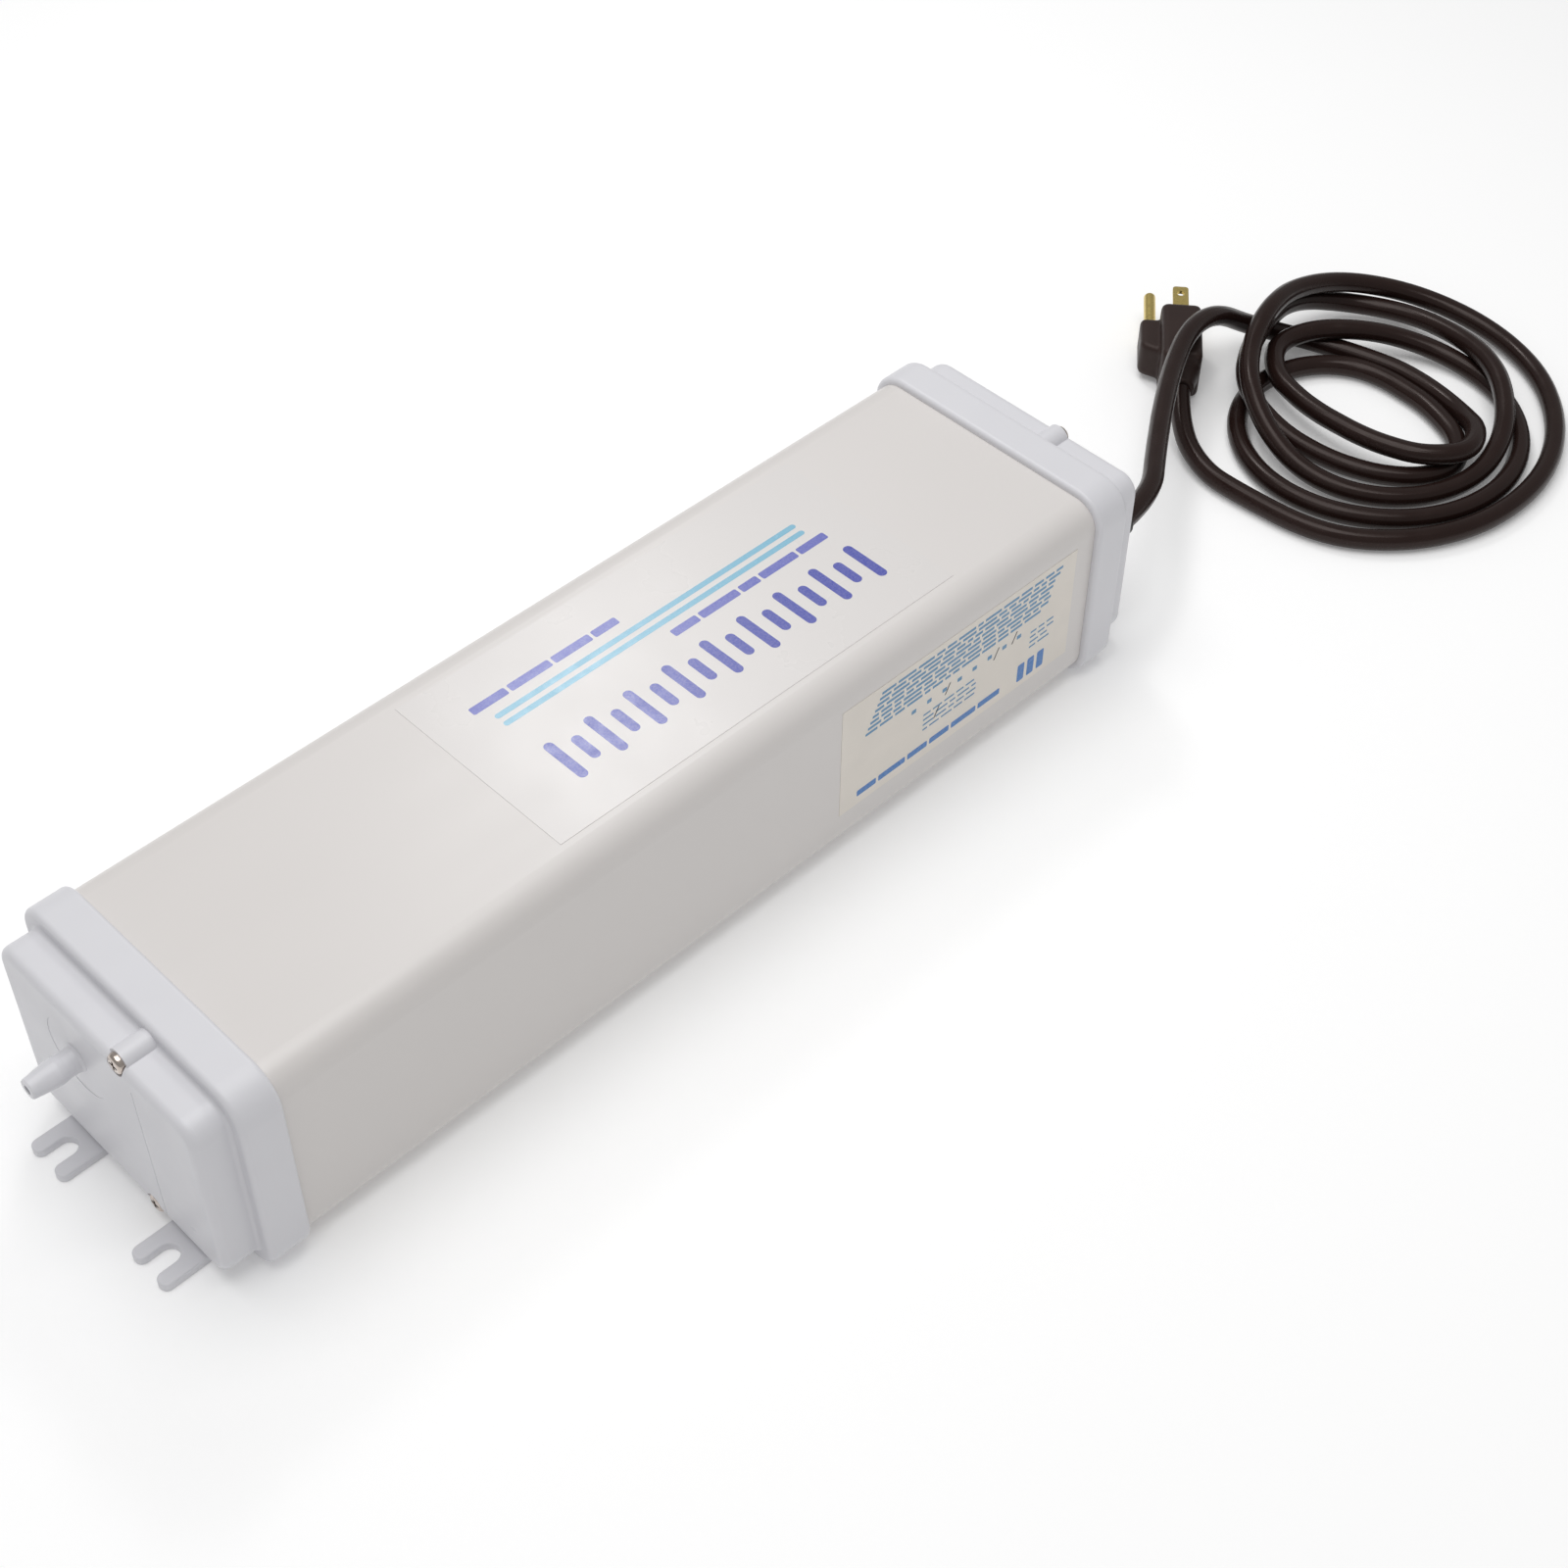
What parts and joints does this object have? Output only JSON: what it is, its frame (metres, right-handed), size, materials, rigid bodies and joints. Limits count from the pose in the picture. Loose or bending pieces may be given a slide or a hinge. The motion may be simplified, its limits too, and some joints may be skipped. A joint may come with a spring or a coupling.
{
  "type": "spa uv ozone generator",
  "caption": "Wall-mounted spa UV ozone generator: long rectangular housing, end caps with fork feet, a hose nipple, a pull-out lamp, and a coiled mains cord with a three-prong plug.",
  "frame": {"origin": "on the mounting plane, at the middle of the housing's box", "axes": "+X from the hose-nipple end to the cord end, +Y across the unit, +Z away from the wall"},
  "size_m": [0.6652, 0.1865, 0.0812],
  "materials": {
    "extrusion_white": "satin extruded PVC",
    "cap_white": "satin moulded plastic",
    "gasket_rubber": "matte",
    "screw_steel": "nickel plated",
    "filter_foam": "open foam",
    "label_film": "clear film with blue print",
    "label_paper": "printed paper",
    "quartz": "clear",
    "lamp_ceramic": "glazed",
    "pin_brass": "plain",
    "electrode_steel": "wire",
    "socket_plastic": "moulded",
    "sheet_steel": "zinc plated",
    "liner_aluminium": "polished",
    "foam_tape": "foam",
    "ballast_paint": "satin",
    "board_green": "solder mask",
    "ferrite": "matte",
    "capacitor_plastic": "sleeve",
    "bushing_black": "nylon",
    "cord_jacket": "semi gloss",
    "wire_black": "insulation",
    "wire_green": "insulation",
    "wire_white": "insulation",
    "crimp_clear": "sleeve",
    "terminal_tin": "tinned"
  },
  "bodies": {
    "housing": {"housing_tube": "extrusion_white", "rear_end_cap": "cap_white", "rear_gasket": "gasket_rubber", "rear_cap_screws": "screw_steel", "inlet_filter": "filter_foam", "top_label": "label_film", "side_label": "label_paper", "lamp_socket": "socket_plastic", "socket_contacts": "pin_brass", "socket_bracket": "sheet_steel", "socket_bracket_screws": "screw_steel", "reflector_liner": "liner_aluminium", "ballast_pad": "foam_tape", "ballast_case": "ballast_paint", "ballast_cover": "ballast_paint", "ballast_board": "board_green", "ballast_inductor": "ferrite", "ballast_capacitors": "capacitor_plastic", "ballast_transistors": "capacitor_plastic", "ballast_board_screws": "screw_steel", "ballast_cover_screws": "screw_steel", "cord_bushing": "bushing_black", "cord_inner_end": "cord_jacket", "supply_wires": "wire_black", "crimp_connectors": "crimp_clear", "ballast_input_wires": "wire_black", "ground_wire": "wire_green", "ground_terminal": "terminal_tin", "lamp_wires": "wire_white", "cord_lead": "cord_jacket", "cord_coil": "cord_jacket", "cord_tail": "cord_jacket", "plug_body": "cord_jacket", "plug_blades": "pin_brass", "plug_ground_pin": "pin_brass"},
    "lamp_cartridge": {"front_end_cap": "cap_white", "front_gasket": "gasket_rubber", "front_cap_screws": "screw_steel", "lamp_holder": "gasket_rubber", "lamp_tip_cap": "lamp_ceramic", "lamp_glass": "quartz", "lamp_base": "lamp_ceramic", "lamp_pins": "pin_brass", "lamp_electrodes": "electrode_steel"}
  },
  "joints": [
    {"name": "front_cap_pull", "type": "slide", "parent": "housing", "child": "lamp_cartridge", "axis": [-1, 0, 0], "range_m": [0, 0.36]}
  ]
}
